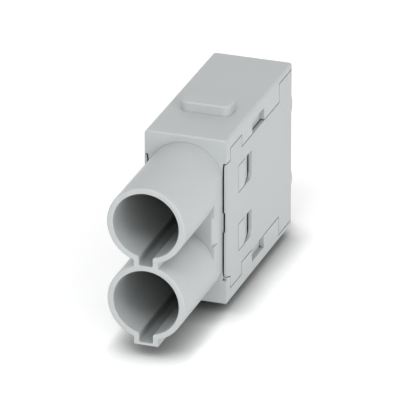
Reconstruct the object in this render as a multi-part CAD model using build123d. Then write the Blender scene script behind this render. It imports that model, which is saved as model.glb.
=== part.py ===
from build123d import *
import os

# Modular connector insert for two large power contacts, one above the other.
# It is empty of contacts. Two mouldings snap into each other and trap one
# spring clip per contact chamber. Millimetres throughout.
# While the pieces are drawn, Y = 0 is the front face of the block, Z = 0 its
# underside and X = 0 its middle. The tubes point towards -Y.

# Block
body_width = 14.6
body_height = 30.4
body_depth = 35.5
top_edge_radius = 0.5
bottom_edge_radius = 0.25
front_edge_radius = 0.35
rear_corner_radius = 0.8

# Contact chambers and mating tubes
chamber_pitch = 14.1
mating_bore_radius = 5.8
tube_wall = 1.05
tube_reach = 20.2
tube_rim_chamfer = 0.15
tube_mouth_chamfer = 0.1
base_reach = 4.35
mating_bore_run = 3.0
partition_thickness = 2.0
pin_bore_radius = 4.3

# Keyway under each mating bore, in a boss below the tube
keyway_width = 2.45
keyway_drop = 7.35
keyway_run = 1.8
keyway_floor_wall = 0.45
keyway_side_wall = 0.93
keyway_edge_radius = 0.45
keyway_corner_radius = 0.3

# Side plates of the rear moulding, and the seam they share with the front one
plate_thickness = 0.62
plate_clearance = 0.08
plate_lead_in = 0.2
plate_lead_in_run = 1.0
seam_gap = 0.16
seam_drop = 4.3
tab_drop = 2.1
tab_start = 2.1
tab_length = 6.1
lid_thickness = 0.8
lid_tail_length = 7.5
bottom_corner_rise = 0.75
ledge_relief_length = 0.45
ledge_web_reach = 0.14
ledge_web_height = 0.9
ledge_web_length = 0.6

# Notches in the side edges, between the tab and the tail of each lid
notch_start = 13.65
notch_length = 6.4
notch_drop = 2.05
notch_depth = 0.82
notch_slot_drop = 0.8

# Latch hooks on the flanks with a pocket behind each, and the windows that snap over them
window_start = 6.4
window_length = 7.0
window_height = 5.1
window_pitch = 10.9
window_corner_radius = 1.2
hook_gap = 0.13
hook_crown_length = 2.95
hook_ramp_length = 3.5
hook_crown_radius = 0.3
hook_foot_radius = 0.45
pocket_length = 2.7
pocket_depth = 0.8

# Guide rib on each flank, its groove in the plate, and the bevel in front of it
rib_height = 3.6
rib_rise = 0.15
groove_side_gap = 0.05
groove_gap = 0.13
bevel_height = 5.4
bevel_depth = 0.45
bevel_length = 2.1

# Coding lugs, a wide one on top and a narrow one below
lug_start = 9.65
lug_length = 4.35
lug_height = 1.8
top_lug_width = 9.0
bottom_lug_width = 6.4
lug_corner_radius = 1.35
lug_crown_chamfer = 0.2

# Spring clip chambers and the spigots that close them
core_depth = 21.0
clip_chamber_radius = 5.4
spigot_length = 3.0
spigot_clearance = 0.1
parting_gap = 0.2
contact_bore_radius = 4.6

# Cable entries at the back
cable_bore_radius = 5.9
cable_bore_depth = 10.8
cable_mouth_chamfer = 0.5
collar_wall = 1.0
collar_reach = 1.3
collar_rim_chamfer = 0.25

# Spring clips
clip_clearance = 0.08
clip_end_clearance = 0.1
clip_sheet = 0.3
clip_slit_angle = 26
lance_count = 3
lance_angle = 28
lance_slot_angle = 5
lance_length = 5.0
lance_root = 2.0
lance_lean = 0.75
lance_tip_gap = 0.5

# Sizes and places worked out from the ones above
half_width = body_width / 2
tube_radius = mating_bore_radius + tube_wall
flank = half_width - plate_thickness - plate_clearance
plate_inside = half_width - plate_thickness
groove_floor = flank + rib_rise + groove_gap
middle = body_height / 2
chamber_heights = {
    "upper": middle + chamber_pitch / 2,
    "lower": middle - chamber_pitch / 2,
}
tab_end = tab_start + tab_length
tail_start = body_depth - lid_tail_length
keyway_boss_width = keyway_width + 2 * keyway_side_wall
keyway_boss_drop = keyway_drop + keyway_floor_wall
keyway_edge_drop = (mating_bore_radius**2 - (keyway_width / 2) ** 2) ** 0.5
clip_chamber_start = mating_bore_run + partition_thickness
insert_start = core_depth + parting_gap
insert_half_width = flank - seam_gap
insert_margin = lid_thickness + seam_gap
spigot_end = insert_start - spigot_length
collar_end = body_depth + collar_reach
collar_radius = cable_bore_radius + collar_wall
cable_bore_start = collar_end - cable_bore_depth
window_end = window_start + window_length
hook_start = window_start + hook_gap
hook_crown_end = hook_start + hook_crown_length
hook_foot_end = hook_crown_end + hook_ramp_length
underside = 90


def along_y(sketch, start, end):
    """A prism with its X-Z section, from Y = start to Y = end."""
    return extrude(Plane.XZ.offset(-end) * sketch, amount=end - start)


def across_x(sketch, start, end):
    """A prism with its Y-Z section, from X = start to X = end."""
    return extrude(Plane.YZ.offset(start) * sketch, amount=end - start)


def cylinder(radius, height, start, end):
    """A round bar along Y, with its axis on the block's middle plane."""
    return along_y(Pos(0, height) * Circle(radius), start, end)


def block(x_low, x_high, y_low, y_high, z_low, z_high):
    """A box given by its six faces."""
    corner = (Align.MIN, Align.MIN, Align.MIN)
    box = Box(x_high - x_low, y_high - y_low, z_high - z_low, align=corner)
    return Pos(x_low, y_low, z_low) * box


def both_sides(piece):
    """The piece and its mirror image on the other side."""
    return piece + mirror(piece, about=Plane.YZ)


def rounded_envelope():
    """The outline of the closed block: what its rounded end, plan and side views share."""
    end_view = Pos(0, middle) * Rectangle(body_width, body_height)
    end_view = fillet(end_view.vertices().group_by(Axis.Y)[-1], top_edge_radius)
    end_view = fillet(end_view.vertices().group_by(Axis.Y)[0], bottom_edge_radius)

    plan = Pos(0, body_depth / 2) * Rectangle(body_width, body_depth)
    plan = fillet(plan.vertices().group_by(Axis.Y)[-1], rear_corner_radius)

    side_view = Pos(body_depth / 2, middle) * Rectangle(body_depth, body_height)
    side_view = fillet(side_view.vertices().group_by(Axis.X)[0], front_edge_radius)

    body = along_y(end_view, 0, body_depth)
    body &= extrude(plan, amount=body_height)
    body &= across_x(side_view, -half_width, half_width)
    return body


def lid_side(front_drop, height_of):
    """Side view of one lid: a front tooth, a gap for the tab, a long tooth, a thin tail."""
    outline = [
        (0, 0),
        (body_depth, 0),
        (body_depth, lid_thickness),
        (tail_start, lid_thickness),
        (tail_start, seam_drop),
        (tab_end, seam_drop),
        (tab_end, tab_drop),
        (tab_start, tab_drop),
        (tab_start, seam_drop),
        (0, front_drop),
    ]
    return make_face(Polyline([(y, height_of(drop)) for y, drop in outline], close=True))


def top_height(drop):
    return body_height - drop


def bottom_height(drop):
    return drop


def lid_sides():
    """Side views of the top and the bottom lid."""
    top = lid_side(seam_drop, top_height)
    bottom = lid_side(seam_drop + bottom_corner_rise, bottom_height)
    return top, bottom


def plate_side():
    """Side view of a side plate: what the two lids leave, less the seam."""
    plate = make_face(
        Polyline([(0, 0), (body_depth, 0), (body_depth, body_height), (0, body_height)], close=True)
    )
    for lid in lid_sides():
        plate -= offset(lid, seam_gap, kind=Kind.INTERSECTION)
    return plate


def window_side(low, start, end, margin, corner_radius):
    """Side view of a window, hook or pocket: a rectangle with its lower rear corner rounded."""
    height = window_height - 2 * margin
    rectangle = Pos((start + end) / 2, low + window_height / 2) * Rectangle(end - start, height)
    corner = rectangle.vertices().sort_by(Axis.X)[-2:].sort_by(Axis.Y)[0]
    return fillet(corner, corner_radius)


def window_lows():
    """Lower edges of the two windows of a plate."""
    centres = (middle + window_pitch / 2, middle - window_pitch / 2)
    return [centre - window_height / 2 for centre in centres]


def hook_foot(low):
    """Side view of a latch hook where it meets the flank."""
    return window_side(low, hook_start, hook_foot_end, hook_gap, hook_foot_radius)


def hook(low):
    """A latch hook: square in front, where it locks, and sloping down to the flank behind."""
    crown = window_side(low, hook_start, hook_crown_end, hook_gap, hook_crown_radius)
    return loft([Plane.YZ.offset(flank) * hook_foot(low), Plane.YZ.offset(half_width) * crown])


def hook_pocket(low):
    """The pocket sunk into the flank behind a hook, round the hook's lower corner."""
    start = hook_foot_end - hook_foot_radius
    end = hook_foot_end + pocket_length
    outline = window_side(low, start, end, hook_gap, hook_foot_radius) - hook_foot(low)
    return across_x(outline, flank - pocket_depth, flank)


def flank_bevel():
    """The sloped cut at the front of a flank, a lead-in for the mating half."""
    outline = [
        (flank - bevel_depth, -base_reach),
        (flank + bevel_depth, -base_reach),
        (flank + bevel_depth, bevel_length - base_reach),
        (flank, bevel_length - base_reach),
    ]
    cut = extrude(make_face(Polyline(outline, close=True)), amount=bevel_height)
    return Pos(0, 0, middle - bevel_height / 2) * cut


def lug(width):
    """A coding lug with rounded corners and a bevelled crown, standing on Z = 0."""
    outline = RectangleRounded(width, lug_length, lug_corner_radius)
    body = extrude(Pos(0, lug_start + lug_length / 2) * outline, amount=lug_height)
    return chamfer(body.faces().sort_by(Axis.Z)[-1].edges(), lug_crown_chamfer)


def tube_base():
    """The flat-sided foot that carries both tubes on the block's front face."""
    outline = Pos(0, middle) * Rot(0, 0, 90) * SlotCenterToCenter(chamber_pitch, 2 * tube_radius)
    outline &= Pos(0, middle) * Rectangle(2 * flank, body_height)
    return along_y(outline, -base_reach, 0)


def mating_tube(height):
    """One tube ahead of the foot, and its keyway boss, still solid."""
    tube = cylinder(tube_radius, height, -tube_reach, -base_reach)
    tube = chamfer(tube.faces().sort_by(Axis.Y)[0].edges(), tube_rim_chamfer)
    boss = Pos(0, height - keyway_boss_drop / 2) * Rectangle(keyway_boss_width, keyway_boss_drop)
    return tube + along_y(boss, -tube_reach, 0)


def mouth(radius, height, face, inward, bevel):
    """The bevelled mouth of a bore at Y = face; inward is the sign of Y going in."""
    section = Polyline(
        [(0, face), (radius + bevel, face), (radius, face + inward * bevel), (0, face + inward * bevel)],
        close=True,
    )
    return Pos(0, 0, height) * revolve(make_face(section), Axis.Y)


def keyed_bore():
    """End view of a mating bore with its keyway, both with rounded edges."""
    keyway = Pos(0, -keyway_drop / 2) * Rectangle(keyway_width, keyway_drop)
    outline = Circle(mating_bore_radius) + keyway
    outline = fillet(outline.vertices().group_by(Axis.Y)[0], keyway_corner_radius)
    edge_line = -keyway_edge_drop
    edges = outline.vertices().sort_by(lambda vertex: abs(vertex.Y - edge_line))[:2]
    return fillet(edges, keyway_edge_radius)


def mating_void(height):
    """The space in a tube: the keyed bore, the partition's hole and the clip chamber."""
    space = along_y(Pos(0, height) * keyed_bore(), -tube_reach, keyway_run)
    space += cylinder(mating_bore_radius, height, keyway_run, mating_bore_run)
    space += cylinder(pin_bore_radius, height, mating_bore_run, clip_chamber_start)
    space += cylinder(clip_chamber_radius, height, clip_chamber_start, core_depth)
    return space + mouth(mating_bore_radius, height, -tube_reach, 1, tube_mouth_chamfer)


def ledge_web(ledge, side, inner, outer, length):
    """A web in the corner at a front ledge, growing towards the ledge and running into it."""
    root = ledge + side * ledge_web_height
    crown = outer + ledge_web_reach
    far = ledge - side * 2 * seam_gap
    outline = [(inner, far), (crown, far), (crown, ledge), (outer, root), (inner, root)]
    return along_y(make_face(Polyline(outline, close=True)), 0, length)


def front_ledges():
    """Heights of the front ledges, and the side of each that its webs are on."""
    return (
        (top_height(seam_drop), -1),
        (bottom_height(seam_drop + bottom_corner_rise), 1),
    )


def side_notch(height_of):
    """A notch in a lid's side edge, with a slot that runs on behind the plate's edge."""
    end = notch_start + notch_length
    inside = half_width - notch_depth
    near = height_of(notch_drop)
    seam = height_of(seam_drop + seam_gap)
    slot_end = height_of(seam_drop + notch_slot_drop)
    notch = block(inside, half_width, notch_start, end, *sorted((near, seam)))
    return notch + block(inside, flank, notch_start, end, *sorted((near, slot_end)))


def make_front_housing():
    """The front moulding: tubes, core with hooks, top and bottom lids with lugs."""
    body = block(-flank, flank, 0, core_depth, 0, body_height)
    for lid in lid_sides():
        body += across_x(lid, -half_width, half_width)
    body -= block(
        -flank, flank, core_depth, body_depth, lid_thickness, body_height - lid_thickness
    )
    for ledge, side in front_ledges():
        web = ledge_web(ledge, side, flank - ledge_web_reach, flank, ledge_web_length)
        body += both_sides(web)
    relief_low = seam_drop + seam_gap / 2
    relief = block(
        flank, half_width, 0, ledge_relief_length, relief_low, relief_low + bottom_corner_rise
    )
    body -= both_sides(relief)
    body &= rounded_envelope()

    rib = block(
        flank, flank + rib_rise, 0, core_depth, middle - rib_height / 2, middle + rib_height / 2
    )
    body += both_sides(rib)
    for low in window_lows():
        body -= both_sides(hook_pocket(low))
        body += both_sides(hook(low))

    for height_of in (top_height, bottom_height):
        body -= both_sides(side_notch(height_of))

    body += tube_base()
    body -= both_sides(flank_bevel())
    for height in chamber_heights.values():
        body += mating_tube(height)
    for height in chamber_heights.values():
        body -= mating_void(height)
    body += Pos(0, 0, body_height) * lug(top_lug_width)
    body += mirror(lug(bottom_lug_width), about=Plane.XY)
    return body


def plate_lead_in_cut(inside, low, high):
    """The bevel at the front of a plate's inner face, or of the groove's floor in it."""
    outline = [
        (inside, 0),
        (inside + plate_lead_in, 0),
        (inside, plate_lead_in_run),
    ]
    return Pos(0, 0, low) * extrude(make_face(Polyline(outline, close=True)), amount=high - low)


def guide_groove():
    """The groove inside a plate that the flank's rib slides in, with its own front bevel."""
    low = middle - rib_height / 2 - groove_side_gap
    high = middle + rib_height / 2 + groove_side_gap
    groove = block(plate_inside, groove_floor, 0, insert_start, low, high)
    return groove + plate_lead_in_cut(groove_floor, low, high)


def make_rear_housing():
    """The rear moulding: side plates, insert block with spigots, cable collars."""
    body = across_x(plate_side(), -half_width, half_width)
    body -= block(-plate_inside, plate_inside, 0, insert_start, 0, body_height)
    body += block(
        -insert_half_width,
        insert_half_width,
        insert_start,
        body_depth,
        insert_margin,
        body_height - insert_margin,
    )
    body &= rounded_envelope()
    for low in window_lows():
        opening = window_side(low, window_start, window_end, 0, window_corner_radius)
        body -= both_sides(across_x(opening, plate_inside, half_width))
    body -= both_sides(plate_lead_in_cut(plate_inside, 0, body_height))
    mouth_edge = plate_inside + plate_lead_in
    room = ledge_web_length + seam_gap
    for ledge, side in front_ledges():
        body -= both_sides(ledge_web(ledge, side, flank, mouth_edge, room))
    body -= both_sides(guide_groove())

    for height in chamber_heights.values():
        spigot_radius = clip_chamber_radius - spigot_clearance
        body += cylinder(spigot_radius, height, spigot_end, insert_start)
        collar = cylinder(collar_radius, height, body_depth, collar_end)
        rim = collar.faces().sort_by(Axis.Y)[-1].edges()
        body += chamfer(rim, collar_rim_chamfer)
    for height in chamber_heights.values():
        body -= cylinder(contact_bore_radius, height, spigot_end, cable_bore_start)
        body -= cylinder(cable_bore_radius, height, cable_bore_start, collar_end)
        body -= mouth(cable_bore_radius, height, collar_end, -1, cable_mouth_chamfer)
    return body


def ring_sector(profile, angle, turn):
    """A radius-length profile turned about Y through an angle centred on turn."""
    sector = revolve(profile, Axis.Y, revolution_arc=angle)
    return Rot(0, turn - angle / 2, 0) * sector


def make_retaining_clip(height):
    """A spring sleeve split along its underside, with lances that lean in towards the front."""
    outer = clip_chamber_radius - clip_clearance
    inner = outer - clip_sheet
    start = clip_chamber_start + clip_end_clearance
    end = spigot_end - clip_end_clearance
    sleeve = along_y(Circle(outer) - Circle(inner), start, end)

    reach = outer + clip_sheet
    slit = Polyline([(0, start), (reach, start), (reach, end), (0, end)], close=True)
    sleeve -= ring_sector(make_face(slit), clip_slit_angle, underside)

    lance_back = end - lance_root
    lance_front = lance_back - lance_length
    slot = Polyline(
        [
            (inner - clip_sheet, lance_front - lance_tip_gap),
            (reach, lance_front - lance_tip_gap),
            (reach, lance_back),
            (inner - clip_sheet, lance_back),
        ],
        close=True,
    )
    lance = Polyline(
        [
            (inner, end),
            (outer, end),
            (outer, lance_back),
            (outer - lance_lean, lance_front),
            (inner - lance_lean, lance_front),
            (inner, lance_back),
        ],
        close=True,
    )
    spacing = (360 - clip_slit_angle) / lance_count
    for index in range(lance_count):
        turn = underside + clip_slit_angle / 2 + spacing * (index + 0.5)
        sleeve -= ring_sector(make_face(slot), lance_angle + 2 * lance_slot_angle, turn)
        sleeve += ring_sector(make_face(lance), lance_angle, turn)
    return Pos(0, 0, height) * sleeve


def make_parts():
    """Every piece, still in the drawing's own place."""
    parts = {
        "front_housing": make_front_housing(),
        "rear_housing": make_rear_housing(),
    }
    for level, height in chamber_heights.items():
        parts[f"{level}_retaining_clip"] = make_retaining_clip(height)
    return parts


# The origin is under the middle of the whole module, level with the lower lug's foot
to_origin = Pos(0, (tube_reach - collar_end) / 2, lug_height)

os.makedirs("parts", exist_ok=True)
for name, part in make_parts().items():
    export_step(to_origin * part, f"parts/{name}.step")
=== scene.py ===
import math

import bpy
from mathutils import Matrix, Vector


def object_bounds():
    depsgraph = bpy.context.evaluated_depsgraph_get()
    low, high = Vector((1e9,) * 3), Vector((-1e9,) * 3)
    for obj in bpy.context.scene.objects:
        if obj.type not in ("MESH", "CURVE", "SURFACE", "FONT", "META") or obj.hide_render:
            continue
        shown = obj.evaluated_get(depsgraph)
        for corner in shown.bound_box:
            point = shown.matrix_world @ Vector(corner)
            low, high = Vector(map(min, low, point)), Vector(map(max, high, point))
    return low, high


# Looks of a modular connector insert: two light grey mouldings and two spring clips.
# Lengths are in metres unless a name says millimetres.
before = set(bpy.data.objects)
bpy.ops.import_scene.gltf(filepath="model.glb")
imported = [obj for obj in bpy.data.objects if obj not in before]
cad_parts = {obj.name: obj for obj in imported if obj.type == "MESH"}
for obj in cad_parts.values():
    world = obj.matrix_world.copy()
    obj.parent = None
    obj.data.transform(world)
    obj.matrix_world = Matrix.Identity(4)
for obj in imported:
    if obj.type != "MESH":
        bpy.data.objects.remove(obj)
cad_low, cad_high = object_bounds()
middle = (Vector(cad_low) + Vector(cad_high)) / 2
MILLIMETRE = 0.001

# Colours, as linear red, green, blue
FRONT_GREY = (0.460, 0.480, 0.484)
REAR_GREY = (0.450, 0.469, 0.469)
SPRING_STEEL = (0.56, 0.55, 0.53)
FLOOR_WHITE = (0.95, 0.95, 0.95)
PLAIN_WHITE = (1, 1, 1, 1)

# The part of noise's range that it keeps to nearly everywhere
NOISE_RANGE = (0.3, 0.7)

# Surface of the mouldings: fine grain, shallow sinks, faint mottle and broken edges
FRONT_ROUGHNESS = 0.42
REAR_ROUGHNESS = 0.45
ROUGHNESS_SPREAD = 0.04
PLASTIC_IOR = 1.52
GRAIN_SIZE = 0.12 * MILLIMETRE
GRAIN_DETAIL = 2
GRAIN_HEIGHT = 0.004 * MILLIMETRE
SINK_SIZE = 7 * MILLIMETRE
SINK_DETAIL = 1
SINK_HEIGHT = 0.012 * MILLIMETRE
MOTTLE_SIZE = 2.5 * MILLIMETRE
MOTTLE_DETAIL = 4
MOTTLE_TINT = (0.985, 1.015)
EDGE_RADIUS = 0.14 * MILLIMETRE
EDGE_SAMPLES = 6

# Painted shade in seams and inner corners: openness at which the plastic keeps its colour,
# and at which it is painted fully shaded
SEAM_REACH = 0.45 * MILLIMETRE
SEAM_OPEN = 0.54
SEAM_CLOSED = 0.36
SEAM_SHADE = 0.0

# Painted shade, set the same way, for the depth of the bores and the hollow between the
# tubes, within one piece
HOLLOW_REACH = 14 * MILLIMETRE
HOLLOW_OPEN = 0.52
HOLLOW_CLOSED = 0.05
HOLLOW_SHADE = 0.5

PLASTIC_OPENNESS_SAMPLES = 8

# Spring strip, with rolling lines along the chamber
LINE_SIZE = 0.12 * MILLIMETRE
LINE_DETAIL = 3
LINE_STRETCH = (1, 0.04, 1)
LINE_HEIGHT = 0.0012 * MILLIMETRE
LINE_TINT = (0.96, 1.03)
STEEL_ROUGHNESS = (0.27, 0.35)

# Floor, with a shadow painted into its colour where the object stands close above it
CONTACT_REACH = 6 * MILLIMETRE
CONTACT_SAMPLES = 16
CONTACT_POWER = 1.35
FLOOR_LIFT = 0.20
FLOOR_GRAIN_SIZE = 30 * MILLIMETRE
FLOOR_GRAIN_DETAIL = 2
FLOOR_GRAIN_TINT = (0.995, 1.005)
FLOOR_ROUGHNESS = 0.9
FLOOR_SPECULAR = 0.1

# Stage: the floor ends behind the object in a bend that leads up to a backdrop
STAGE_HALF_WIDTH = 2.5
STAGE_FRONT = -2.5
STAGE_BACK = 1.2
BEND_RADIUS = 0.6
BEND_STEPS = 16
BACKDROP_HEIGHT = 2.5

# Light: each lamp's compass direction in degrees, its size and its power
WORLD_STRENGTH = 0.68
LAMP_DISTANCE = 0.9
LAMPS = {
    "high_key": {"azimuth": 0, "elevation": 55, "size": 0.30, "watts": 2.0},
    "low_fill": {"azimuth": 45, "elevation": 10, "size": 0.8, "watts": 5.4},
}

# Camera, with its compass direction in degrees
CAMERA_AZIMUTH = 19.12
CAMERA_ELEVATION = 24.25
CAMERA_DISTANCE = 1.1
CAMERA_REACH = 20
SENSOR_WIDTH_MM = 36
FRAME_WIDTH = 0.06823
AIM_RIGHT = -0.27 * MILLIMETRE
AIM_UP = -0.24 * MILLIMETRE


def new_material(name):
    """A material with its nodes, links and Principled shader."""
    material = bpy.data.materials.new(name)
    material.use_nodes = True
    nodes = material.node_tree.nodes
    return material, nodes, material.node_tree.links, nodes["Principled BSDF"]


def remap(nodes, links, value, source, target):
    """Maps the range source of a value to the range target, and stays inside that."""
    span = nodes.new("ShaderNodeMapRange")
    span.inputs["From Min"].default_value = source[0]
    span.inputs["From Max"].default_value = source[1]
    span.inputs["To Min"].default_value = target[0]
    span.inputs["To Max"].default_value = target[1]
    links.new(value, span.inputs["Value"])
    return span.outputs["Result"]


def noise(nodes, links, place, size, detail):
    """Noise with features about as large as size, all over the object."""
    texture = nodes.new("ShaderNodeTexNoise")
    texture.inputs["Scale"].default_value = 1 / size
    texture.inputs["Detail"].default_value = detail
    links.new(place, texture.inputs["Vector"])
    return texture.outputs["Fac"]


def spread(nodes, links, value, target):
    """Spreads noise over the range target."""
    return remap(nodes, links, value, NOISE_RANGE, target)


def calculate(nodes, links, operation, first, second):
    """The result of a Math node for two values."""
    node = nodes.new("ShaderNodeMath")
    node.operation = operation
    links.new(first, node.inputs[0])
    links.new(second, node.inputs[1])
    return node.outputs["Value"]


def raised(nodes, links, value, exponent):
    """A value to the power of a fixed exponent."""
    node = nodes.new("ShaderNodeMath")
    node.operation = "POWER"
    links.new(value, node.inputs[0])
    node.inputs[1].default_value = exponent
    return node.outputs["Value"]


def tint(nodes, links, colour, factor):
    """The colour, lightened or darkened by a factor."""
    scaled = nodes.new("ShaderNodeVectorMath")
    scaled.operation = "SCALE"
    scaled.inputs[0].default_value = colour
    links.new(factor, scaled.inputs["Scale"])
    return scaled.outputs["Vector"]


def openness(nodes, reach, samples, own_shape=False):
    """How much of the space within reach is open: one on a free face, low in a seam."""
    node = nodes.new("ShaderNodeAmbientOcclusion")
    node.samples = samples
    node.only_local = own_shape
    node.inputs["Distance"].default_value = reach
    return node.outputs["AO"]


def bump(nodes, links, height, size, normal=None):
    """Bump of the given height in metres, laid over an earlier normal."""
    node = nodes.new("ShaderNodeBump")
    node.inputs["Strength"].default_value = 1.0
    node.inputs["Distance"].default_value = size
    links.new(height, node.inputs["Height"])
    if normal is not None:
        links.new(normal, node.inputs["Normal"])
    return node.outputs["Normal"]


def moulded_plastic(name, colour, roughness):
    """Satin thermoplastic, with shade painted into its colour inside seams and deep in
    hollows.
    """
    material, nodes, links, shader = new_material(name)
    place = nodes.new("ShaderNodeTexCoord").outputs["Object"]
    rounding = nodes.new("ShaderNodeBevel")
    rounding.samples = EDGE_SAMPLES
    rounding.inputs["Radius"].default_value = EDGE_RADIUS

    sinks = noise(nodes, links, place, SINK_SIZE, SINK_DETAIL)
    grain = noise(nodes, links, place, GRAIN_SIZE, GRAIN_DETAIL)
    mottle = noise(nodes, links, place, MOTTLE_SIZE, MOTTLE_DETAIL)
    normal = bump(nodes, links, sinks, SINK_HEIGHT, rounding.outputs["Normal"])
    normal = bump(nodes, links, grain, GRAIN_HEIGHT, normal)
    links.new(normal, shader.inputs["Normal"])

    # Painted shade: the colour darkens inside seams and at inner corners, where shade
    # falls
    seam_painted_shade = openness(nodes, SEAM_REACH, PLASTIC_OPENNESS_SAMPLES)
    seam_painted_shade = remap(nodes, links, seam_painted_shade, (SEAM_CLOSED, SEAM_OPEN), (SEAM_SHADE, 1))
    # Painted shade: the colour darkens deep in the bores and in the hollow between the
    # tubes
    hollow_painted_shade = openness(nodes, HOLLOW_REACH, PLASTIC_OPENNESS_SAMPLES, own_shape=True)
    hollow_painted_shade = remap(nodes, links, hollow_painted_shade, (HOLLOW_CLOSED, HOLLOW_OPEN), (HOLLOW_SHADE, 1))
    # Random mottle tone, times the painted shade of seams and hollows
    shade = spread(nodes, links, mottle, MOTTLE_TINT)
    shade = calculate(nodes, links, "MULTIPLY", seam_painted_shade, shade)
    shade = calculate(nodes, links, "MULTIPLY", shade, hollow_painted_shade)
    links.new(tint(nodes, links, colour, shade), shader.inputs["Base Color"])

    satin = (roughness - ROUGHNESS_SPREAD, roughness + ROUGHNESS_SPREAD)
    links.new(spread(nodes, links, mottle, satin), shader.inputs["Roughness"])
    shader.inputs["IOR"].default_value = PLASTIC_IOR
    return material


def rolled_steel(name, colour):
    """Bright spring strip, with fine rolling lines."""
    material, nodes, links, shader = new_material(name)
    place = nodes.new("ShaderNodeTexCoord").outputs["Object"]
    stretch = nodes.new("ShaderNodeMapping")
    stretch.inputs["Scale"].default_value = LINE_STRETCH
    links.new(place, stretch.inputs["Vector"])
    lines = noise(nodes, links, stretch.outputs["Vector"], LINE_SIZE, LINE_DETAIL)
    links.new(bump(nodes, links, lines, LINE_HEIGHT), shader.inputs["Normal"])
    shade = spread(nodes, links, lines, LINE_TINT)
    links.new(tint(nodes, links, colour, shade), shader.inputs["Base Color"])
    links.new(spread(nodes, links, lines, STEEL_ROUGHNESS), shader.inputs["Roughness"])
    shader.inputs["Metallic"].default_value = 1.0
    return material


def dress(node, material):
    """Gives a CAD node its material."""
    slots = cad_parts[node].data.materials
    slots.clear()
    slots.append(material)


def dress_parts():
    """Gives each piece its plastic or steel."""
    front = moulded_plastic("front_plastic", FRONT_GREY, FRONT_ROUGHNESS)
    rear = moulded_plastic("rear_plastic", REAR_GREY, REAR_ROUGHNESS)
    steel = rolled_steel("spring_steel", SPRING_STEEL)
    dress("front_housing", front)
    dress("rear_housing", rear)
    dress("upper_retaining_clip", steel)
    dress("lower_retaining_clip", steel)


def seen_by_eye(nodes, links):
    """One where the ray comes from the camera, directly or by a mirror or glass."""
    path = nodes.new("ShaderNodeLightPath")
    seen = path.outputs["Is Camera Ray"]
    for other in ("Is Glossy Ray", "Is Transmission Ray"):
        seen = calculate(nodes, links, "MAXIMUM", seen, path.outputs[other])
    return seen


def floor_material():
    """A pale floor that shows white, except for a painted shadow where the object stands
    close above it.
    """
    material, nodes, links, shader = new_material("studio_floor")
    place = nodes.new("ShaderNodeTexCoord").outputs["Object"]
    seen = seen_by_eye(nodes, links)
    # Painted shadow: as the camera sees it, the floor darkens where the object stands
    # close above it
    painted_shadow = openness(nodes, CONTACT_REACH, CONTACT_SAMPLES)
    painted_shadow = raised(nodes, links, painted_shadow, CONTACT_POWER)
    grain = noise(nodes, links, place, FLOOR_GRAIN_SIZE, FLOOR_GRAIN_DETAIL)
    grain = spread(nodes, links, grain, FLOOR_GRAIN_TINT)

    shade = nodes.new("ShaderNodeMix")
    shade.data_type = "FLOAT"
    links.new(seen, shade.inputs["Factor"])
    links.new(grain, shade.inputs["A"])
    links.new(calculate(nodes, links, "MULTIPLY", painted_shadow, grain), shade.inputs["B"])
    floor_colour = tint(nodes, links, FLOOR_WHITE, shade.outputs["Result"])
    links.new(floor_colour, shader.inputs["Base Color"])

    lift = remap(nodes, links, seen, (0, 1), (0, FLOOR_LIFT))
    # The white lift dims under the same painted shadow
    lift = calculate(nodes, links, "MULTIPLY", painted_shadow, lift)
    links.new(lift, shader.inputs["Emission Strength"])
    shader.inputs["Emission Color"].default_value = PLAIN_WHITE
    shader.inputs["Roughness"].default_value = FLOOR_ROUGHNESS
    shader.inputs["Specular IOR Level"].default_value = FLOOR_SPECULAR
    return material


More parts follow.
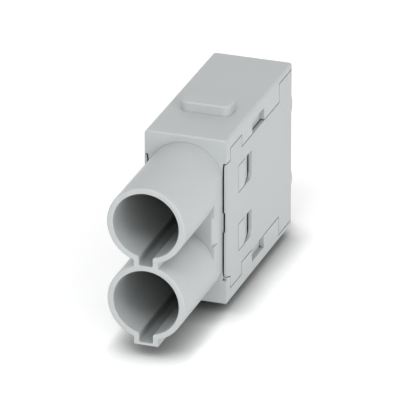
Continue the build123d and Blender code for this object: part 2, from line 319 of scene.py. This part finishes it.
def add_stage():
    """A floor that curves up into a backdrop behind the object."""
    profile = [(STAGE_FRONT, 0.0), (STAGE_BACK, 0.0)]
    for step in range(1, BEND_STEPS + 1):
        angle = math.pi / 2 * step / BEND_STEPS
        y = STAGE_BACK + BEND_RADIUS * math.sin(angle)
        z = BEND_RADIUS * (1 - math.cos(angle))
        profile.append((y, z))
    profile.append((STAGE_BACK + BEND_RADIUS, BACKDROP_HEIGHT))
    corners = [(side * STAGE_HALF_WIDTH, y, z) for y, z in profile for side in (-1, 1)]
    faces = [(2 * i, 2 * i + 1, 2 * i + 3, 2 * i + 2) for i in range(len(profile) - 1)]
    mesh = bpy.data.meshes.new("studio_floor")
    mesh.from_pydata(corners, [], faces)
    for face in mesh.polygons:
        face.use_smooth = True
    mesh.materials.append(floor_material())
    floor = bpy.data.objects.new("studio_floor", mesh)
    bpy.context.scene.collection.objects.link(floor)


def add_world():
    """Even surroundings, which light the object softly and show plain white."""
    world = bpy.data.worlds.new("studio")
    world.use_nodes = True
    bpy.context.scene.world = world
    nodes, links = world.node_tree.nodes, world.node_tree.links
    background = nodes["Background"]
    background.inputs["Color"].default_value = PLAIN_WHITE
    strength = remap(nodes, links, seen_by_eye(nodes, links), (0, 1), (WORLD_STRENGTH, 1))
    links.new(strength, background.inputs["Strength"])


def direction(azimuth, elevation):
    """The way from the object to a compass direction: 0 in front, 90 on its right."""
    turn, tilt = math.radians(azimuth), math.radians(elevation)
    return Vector((
        math.sin(turn) * math.cos(tilt),
        -math.cos(turn) * math.cos(tilt),
        math.sin(tilt),
    ))


def stand(name, data, place, target):
    """Stands a lamp or camera at a place, looking at a target."""
    thing = bpy.data.objects.new(name, data)
    bpy.context.scene.collection.objects.link(thing)
    thing.location = place
    thing.rotation_euler = (target - place).to_track_quat("-Z", "Y").to_euler()
    return thing


def add_softbox(name, azimuth, elevation, size, watts):
    """A square area lamp that looks at the object from a compass direction."""
    lamp = bpy.data.lights.new(name, "AREA")
    lamp.shape = "SQUARE"
    lamp.size = size
    lamp.energy = watts
    stand(name, lamp, middle + LAMP_DISTANCE * direction(azimuth, elevation), middle)


def add_camera():
    """A long lens at the photograph's angle of view."""
    lens = bpy.data.cameras.new("camera")
    lens.sensor_width = SENSOR_WIDTH_MM
    lens.lens = SENSOR_WIDTH_MM * CAMERA_DISTANCE / FRAME_WIDTH
    lens.clip_end = CAMERA_REACH
    ray = direction(CAMERA_AZIMUTH, CAMERA_ELEVATION)
    right = direction(CAMERA_AZIMUTH + 90, 0)
    up = ray.cross(right)
    target = middle + AIM_RIGHT * right + AIM_UP * up
    place = target + CAMERA_DISTANCE * ray
    bpy.context.scene.camera = stand("camera", lens, place, target)


dress_parts()
add_stage()
add_world()
for lamp_name, lamp_values in LAMPS.items():
    add_softbox(lamp_name, **lamp_values)
add_camera()
bpy.context.scene.view_settings.view_transform = "Standard"
